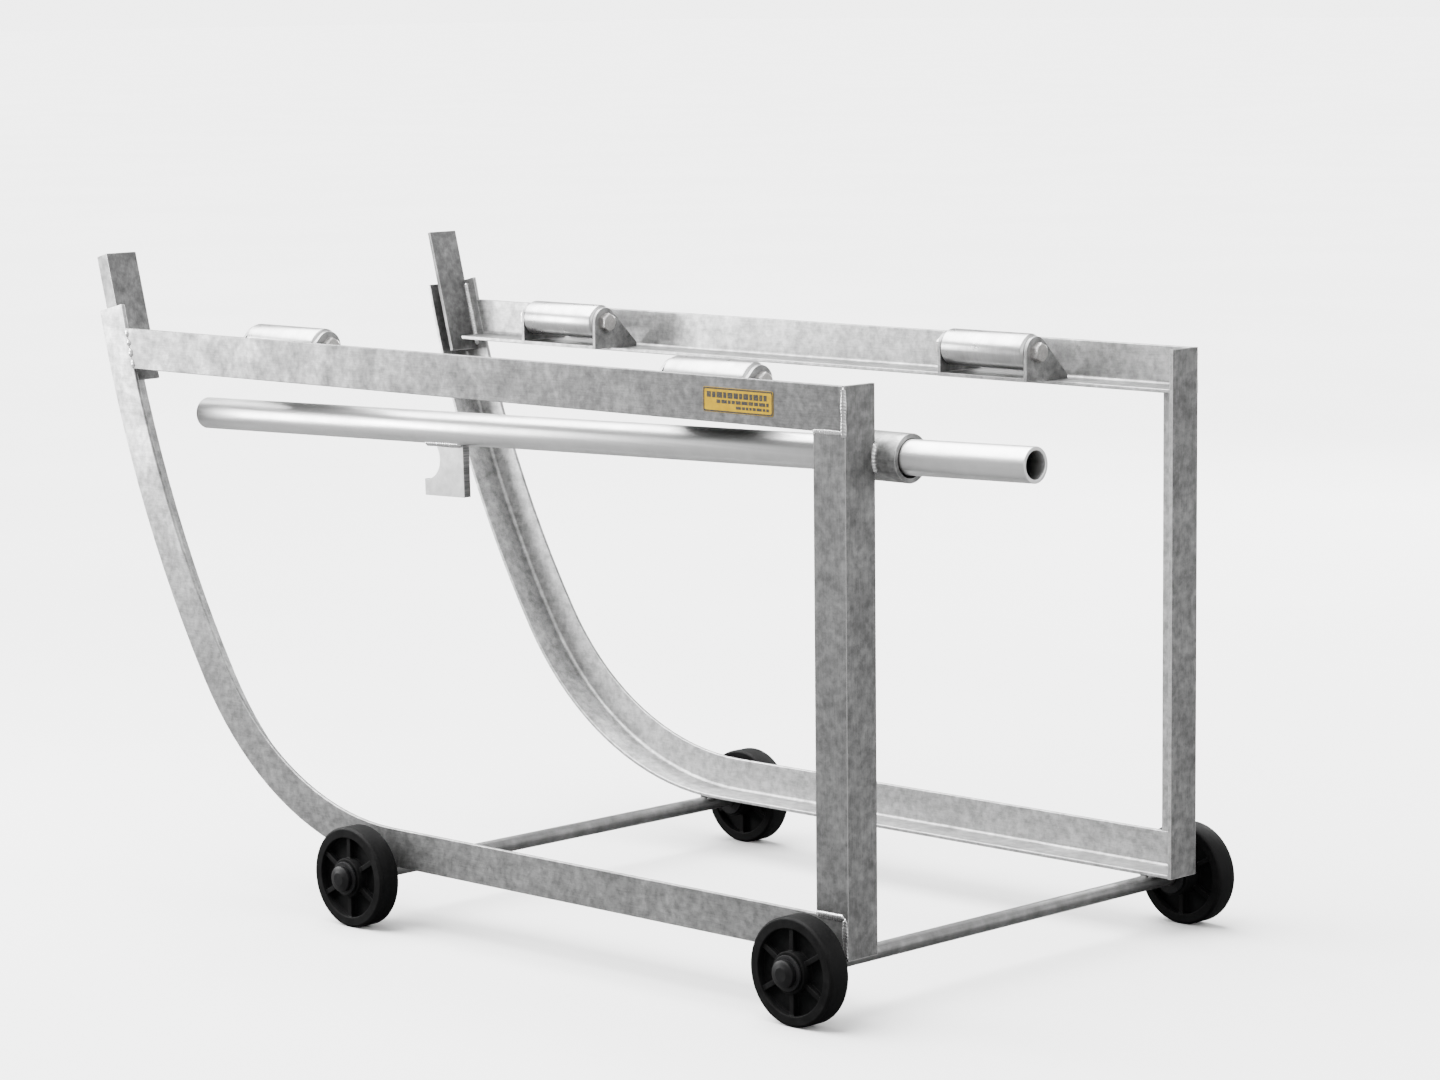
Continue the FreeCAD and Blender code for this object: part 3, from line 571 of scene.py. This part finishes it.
def stop_weld(at):
    """One bead up the edge of the drum stop, inside the toe."""
    beads = bmesh.new()
    stop_low, stop_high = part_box(at.side + "_drum_stop")
    lean = math.radians(STOP_LEAN)
    up = Vector((-math.sin(lean), 0, math.cos(lean)))
    ahead = Vector((math.cos(lean), 0, math.sin(lean)))
    foot_z = stop_low.z + STOP_LIP * math.sin(lean)
    foot = Vector((stop_high.x, at.face - at.way * at.thick, foot_z))
    foot += ahead * (0.6 * MM) - at.outward * (0.6 * MM)
    bead(beads, [foot + up * (4 * MM), foot + up * (62 * MM)],
         (ahead - at.outward).normalized(), 2.6 * MM, 1.9 * MM, at.seed + 11)
    add_piece(at.side + "_stop_weld", beads, "weld")


def axle_welds(end):
    """Four short beads where an axle rod passes under the two sills."""
    low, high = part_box(end + "_axle")
    radius = (high.z - low.z) / 2
    middle = (low.x + high.x) / 2
    beads = bmesh.new()
    seed = 60 if end == "rear" else 70
    for side, _ in SIDES:
        post_low, post_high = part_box(side + "_post")
        for ahead in (-1, 1):
            x = middle + ahead * radius * 0.68
            z = high.z - radius * 0.16
            spots = [Vector((x, post_low.y + 1 * MM, z)), Vector((x, post_high.y - 1 * MM, z))]
            seed += 1
            bead(beads, spots, Vector((ahead * 0.8, 0, -0.6)), 2.4 * MM, 1.5 * MM, seed)
    add_piece(end + "_axle_weld", beads, "weld")


def sleeve_weld():
    """Two short beads that follow the sleeve where it sits in the post's saddle."""
    low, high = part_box("lever_sleeve")
    post_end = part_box("left_post")[1].x
    rail_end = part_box("left_top_rail")[1].x
    radius = (high.y - low.y) / 2
    y = (low.y + high.y) / 2
    z = (low.z + high.z) / 2
    beads = bmesh.new()
    for x, way, seed in ((rail_end, -1, 81), (post_end, 1, 82)):
        spots = []
        for degrees in range(146, 215, 4):
            angle = math.radians(degrees)
            reach = radius + 0.7 * MM
            spots.append(Vector((x, y + reach * math.cos(angle), z + reach * math.sin(angle))))
        bead(beads, spots, Vector((way, -0.35, 0)).normalized(), 2.6 * MM, 2.2 * MM, seed)
    add_piece("lever_sleeve_weld", beads, "weld")


def bracket_welds(side, way, end):
    """Beads that hold a roller bracket to the rail's lower flange, outside and underneath."""
    low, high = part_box("%s_%s_roller_bracket" % (side, end))
    post_low, post_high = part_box(side + "_post")
    outer = high.y if way > 0 else low.y
    flange_edge = post_low.y if way > 0 else post_high.y
    beads = bmesh.new()
    seed = 90 + (10 if way > 0 else 0) + (5 if end == "rear" else 0)
    for start, stop in ((low.x + 8 * MM, low.x + 34 * MM), (high.x - 34 * MM, high.x - 8 * MM)):
        bead(beads, [Vector((start, outer, low.z + 0.6 * MM)), Vector((stop, outer, low.z + 0.6 * MM))],
             Vector((0, way * 0.7, 0.7)), 2.2 * MM, 1.6 * MM, seed)
        under = low.z - 0.4 * MM
        bead(beads, [Vector((start, flange_edge, under)), Vector((stop, flange_edge, under))],
             Vector((0, -way * 0.7, -0.7)), 2.2 * MM, 1.6 * MM, seed + 1)
        seed += 2
    add_piece("%s_%s_bracket_weld" % (side, end), beads, "weld")


def hook_weld():
    """Two beads along the hook plate under the lever."""
    tube_low, tube_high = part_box("lever_tube")
    low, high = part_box("lever_hook_plate")
    radius = (tube_high.y - tube_low.y) / 2
    y = (low.y + high.y) / 2
    half = (high.y - low.y) / 2
    rise = (tube_high.z - tube_low.z - 2 * radius) / (tube_high.x - tube_low.x)
    drop = math.sqrt(radius ** 2 - half ** 2)
    beads = bmesh.new()
    for way in (-1, 1):
        spots = []
        for x in (low.x + 3 * MM, high.x - 2 * MM):
            axis_z = tube_low.z + radius + rise * (x - tube_low.x)
            spots.append(Vector((x, y + way * (half + 0.6 * MM), axis_z - drop - 0.3 * MM)))
        bead(beads, spots, Vector((0, way * 0.7, -0.7)), 2.6 * MM, 2.0 * MM, 110 + way)
    add_piece("lever_hook_weld", beads, "weld", body="lever")


# Roller bolts and nuts: reach of a hexagon's corners, radius of the shank and what stands along it.
HEX_CORNER = 8.1 * MM
HEAD_HEIGHT = 6.0 * MM
NUT_HEIGHT = 7.5 * MM
SHANK_RADIUS = 4.75 * MM
THREAD_LENGTH = 9.5 * MM
THREAD_PITCH = 1.5 * MM
THREAD_DEPTH = 0.75 * MM
POINT_LENGTH = 1.0 * MM
HEX_SIDES = 48
SHANK_SIDES = 24
THREAD_RINGS = 48


def hex_reach(angle, across):
    """Distance from a hexagon's middle to its outline, for half its width over flats."""
    sector = math.pi / 3
    return across / math.cos((angle + math.pi / 6) % sector - sector / 2)


def hex_rings(along, way, centre, across, seat_chamfered, bore):
    """Rings of a hexagon with chamfered corners, along X from its seat to its free end."""
    crown = across * 0.94

    def ring(x, radius=0.0, chamfer=0):
        """A round ring, or without a radius the full hexagon, its corners set back by the chamfer."""
        spots = []
        for n in range(HEX_SIDES):
            angle = 2 * math.pi * n / HEX_SIDES
            reach = radius or hex_reach(angle, across)
            set_back = chamfer * max(0.0, reach - crown) * math.tan(math.radians(30))
            spot = Vector((way * (x - set_back), reach * math.cos(angle), reach * math.sin(angle)))
            spots.append(centre + spot)
        return spots

    rings = [
        ring(0.0, radius=crown),
        ring(0.0, chamfer=-1 if seat_chamfered else 0),
        ring(along, chamfer=1),
        ring(along, radius=crown),
    ]
    if bore:
        rings = [ring(0.0, radius=bore)] + rings + [ring(along, radius=bore)]
    return rings


def bolt_and_nut(bolts, nuts, side, end):
    """One hexagon bolt, head towards the posts, with its threaded end standing out of the nut."""
    bracket_low, bracket_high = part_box("%s_%s_roller_bracket" % (side, end))
    roller_low, roller_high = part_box("%s_%s_roller" % (side, end))
    axis = (roller_low + roller_high) / 2
    across = HEX_CORNER * math.cos(math.pi / 6)
    head = Vector((bracket_high.x, axis.y, axis.z))
    seat = Vector((bracket_low.x, axis.y, axis.z))
    skin(bolts, hex_rings(HEAD_HEIGHT, 1, head, across, False, 0.0))
    skin(nuts, hex_rings(NUT_HEIGHT, -1, seat, across, True, SHANK_RADIUS))

    tip = seat.x - THREAD_LENGTH
    places = [head.x]
    places += [seat.x + (tip - seat.x) * n / (THREAD_RINGS - 1) for n in range(THREAD_RINGS)]
    rings = []
    for number, x in enumerate(places):
        threaded = number > 1
        narrowing = 0.8 * max(0.0, POINT_LENGTH - (x - tip))
        ring = []
        for n in range(SHANK_SIDES):
            angle = 2 * math.pi * n / SHANK_SIDES
            turn = ((seat.x - x) / THREAD_PITCH - angle / (2 * math.pi)) % 1.0
            depth = THREAD_DEPTH * (1 - abs(2 * turn - 1)) if threaded else 0.0
            reach = SHANK_RADIUS - depth - narrowing
            ring.append(Vector((x, axis.y + reach * math.cos(angle), axis.z + reach * math.sin(angle))))
        rings.append(ring)
    skin(bolts, rings)


def roller_hardware():
    bolts = bmesh.new()
    nuts = bmesh.new()
    for side, _ in SIDES:
        for end in ENDS:
            bolt_and_nut(bolts, nuts, side, end)
    for name, maker in (("roller_bolts", bolts), ("roller_nuts", nuts)):
        piece = add_piece(name + "_detailed", maker, "fastener", smooth=False)
        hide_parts(name)


# The label: a rounded sheet with a border and rows of plain bars where print would be. Each row has its
# inset from the label's front end, its height above the lower edge, the height of its bars, their
# shortest and longest lengths, and the gap between them, all in mm.
LABEL_ROWS = (
    (4, 10.9, 4.4, 3.0, 7.5, 1.0),
    (14, 6.9, 2.7, 2.5, 6.5, 0.9),
    (34, 3.2, 2.2, 2.0, 6.0, 0.9),
)
LABEL_MARGIN = 4 * MM
INK_THICKNESS = 0.06 * MM


def rounded_outline(low, high, inset, corner, y):
    """Outline of a rounded rectangle in the XZ plane."""
    spots = []
    for right, top, first in ((1, 1, 0), (-1, 1, 90), (-1, -1, 180), (1, -1, 270)):
        x = high.x if right > 0 else low.x
        z = high.z if top > 0 else low.z
        middle = Vector((x - right * (inset + corner), y, z - top * (inset + corner)))
        for degrees in range(first, first + 91, 15):
            angle = math.radians(degrees)
            spots.append(middle + Vector((math.cos(angle), 0, math.sin(angle))) * corner)
    return spots


def label_sheet():
    low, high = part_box("rating_label")
    sheet = bmesh.new()
    skin(sheet, [rounded_outline(low, high, 0, 1.8 * MM, y) for y in (high.y, low.y)])
    plate = add_piece("rating_label_sheet", sheet, "label", smooth=False)
    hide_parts("rating_label")


def label_print():
    """A raised border and rows of bars of random length, on the face of the label."""
    low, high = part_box("rating_label")
    front = low.y
    raised = front - INK_THICKNESS
    ink = bmesh.new()
    border = [(0.25, front), (0.25, raised), (1.45, raised), (1.45, front)]
    rings = [rounded_outline(low, high, inset * MM, 1.5 * MM, y) for inset, y in border]
    skin(ink, rings + rings[:1], close_ends=False)
    chance = random.Random(7)
    end = high.x - LABEL_MARGIN
    for inset, up, tall, shortest, longest, gap in LABEL_ROWS:
        x = low.x + inset * MM
        while x < end - shortest * MM:
            length = min(chance.uniform(shortest, longest) * MM, end - x)
            bar_low = Vector((x, front, low.z + up * MM))
            bar_high = Vector((x + length, front, low.z + (up + tall) * MM))
            skin(ink, [rounded_outline(bar_low, bar_high, 0, 0.25 * MM, y) for y in (front, raised)])
            x += length + gap * MM
    bmesh.ops.remove_doubles(ink, verts=ink.verts, dist=0.001 * MM)
    add_piece("rating_label_print", ink, "ink", smooth=False)


# ---------------------------------------------------------------- stage, light and camera

def lay_floor():
    """A large plain pale floor; it is paler to the eye than in the metal's reflections."""
    maker = bmesh.new()
    bmesh.ops.create_grid(maker, x_segments=8, y_segments=8, size=60.0)
    mesh = bpy.data.meshes.new("floor")
    maker.to_mesh(mesh)
    maker.free()
    floor = bpy.data.objects.new("floor", mesh)
    bpy.context.scene.collection.objects.link(floor)
    shader = Shader("floor_pale")
    clouds = shader.noise(1.4, detail=3.0)
    seen = shader.add("ShaderNodeLightPath").outputs["Is Camera Ray"]
    pale = shader.ramp(clouds, [(0.3, 0.90), (0.7, 0.94)])
    colour = shader.mix(seen, opaque(grey(FLOOR_BOUNCE)), pale)
    mesh.materials.append(shader.finish(colour=colour, rough=0.9, specular=0.0))


def light_world():
    """Soft surroundings, brighter behind the posts than elsewhere; seen directly they are plain white."""
    world = bpy.data.worlds.new("studio")
    world.use_nodes = True
    bpy.context.scene.world = world
    tree = world.node_tree
    background = tree.nodes["Background"]
    background.inputs["Color"].default_value = (1, 1, 1, 1)
    place = tree.nodes.new("ShaderNodeTexCoord")
    split = tree.nodes.new("ShaderNodeSeparateXYZ")
    tree.links.new(place.outputs["Generated"], split.inputs[0])
    spread = tree.nodes.new("ShaderNodeMapRange")
    spread.inputs["From Min"].default_value = 0.0
    spread.inputs["From Max"].default_value = 1.0
    spread.inputs["To Min"].default_value = WORLD_AHEAD
    spread.inputs["To Max"].default_value = WORLD_BEHIND
    tree.links.new(split.outputs["X"], spread.inputs["Value"])
    path = tree.nodes.new("ShaderNodeLightPath")
    mix = tree.nodes.new("ShaderNodeMix")
    mix.data_type = "FLOAT"
    tree.links.new(path.outputs["Is Camera Ray"], mix.inputs[0])
    tree.links.new(spread.outputs["Result"], mix.inputs[2])
    mix.inputs[3].default_value = WORLD_SEEN
    tree.links.new(mix.outputs[0], background.inputs["Strength"])


def add_overhead():
    """One very broad soft light from above, even over the whole floor."""
    light = bpy.data.lights.new("overhead", "SUN")
    light.energy = OVERHEAD
    light.angle = math.radians(75)
    item = bpy.data.objects.new("overhead", light)
    item.rotation_euler = (math.radians(10), math.radians(-26), 0)
    bpy.context.scene.collection.objects.link(item)


def add_softbox(name, place, target, width, height, power):
    light = bpy.data.lights.new(name, "AREA")
    light.shape = "RECTANGLE"
    light.size = width
    light.size_y = height
    light.energy = power
    item = bpy.data.objects.new(name, light)
    item.location = place
    item.rotation_euler = (Vector(target) - Vector(place)).to_track_quat("-Z", "Y").to_euler()
    item.visible_camera = False
    bpy.context.scene.collection.objects.link(item)


def place_camera():
    """Camera behind and to the left of the cradle, looking down a little across it."""
    yaw = math.radians(45.55)
    pitch = math.radians(7.56)
    roll = math.radians(-0.59)
    behind, aside, height = 2.0509, -2.4263, 0.7619
    place = Vector((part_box("left_post")[1].x + behind, aside, height))
    ahead = Vector((-math.cos(yaw) * math.cos(pitch), math.sin(yaw) * math.cos(pitch), -math.sin(pitch)))
    level = Vector((math.sin(yaw), math.cos(yaw), 0))
    upright = level.cross(ahead)
    right = math.cos(roll) * level + math.sin(roll) * upright
    up = math.cos(roll) * upright - math.sin(roll) * level
    camera = bpy.data.cameras.new("camera")
    camera.sensor_width = 36.0
    camera.lens = 105.24
    item = bpy.data.objects.new("camera", camera)
    item.matrix_world = Matrix.Translation(place) @ Matrix((right, up, -ahead)).transposed().to_4x4()
    bpy.context.scene.collection.objects.link(item)
    bpy.context.scene.camera = item


dress_nodes()
for side, way in SIDES:
    side_frame = SideFrame(side, way)
    rail_post_weld(side_frame)
    sill_post_weld(side_frame)
    rail_toe_weld(side_frame)
    stop_weld(side_frame)
    for end in ENDS:
        bracket_welds(side, way, end)
for end in ENDS:
    axle_welds(end)
sleeve_weld()
hook_weld()
roller_hardware()
label_sheet()
label_print()

lay_floor()
light_world()
add_overhead()
add_softbox("toe_side", place=(-1.16, -0.72, 0.50), target=(-0.48, -0.2, 0.44),
            width=0.45, height=0.45, power=15.0)
add_softbox("far_side", place=(-0.6, 3.2, 1.3), target=(0.0, 0.2, 0.3),
            width=1.6, height=1.2, power=55.0)
place_camera()
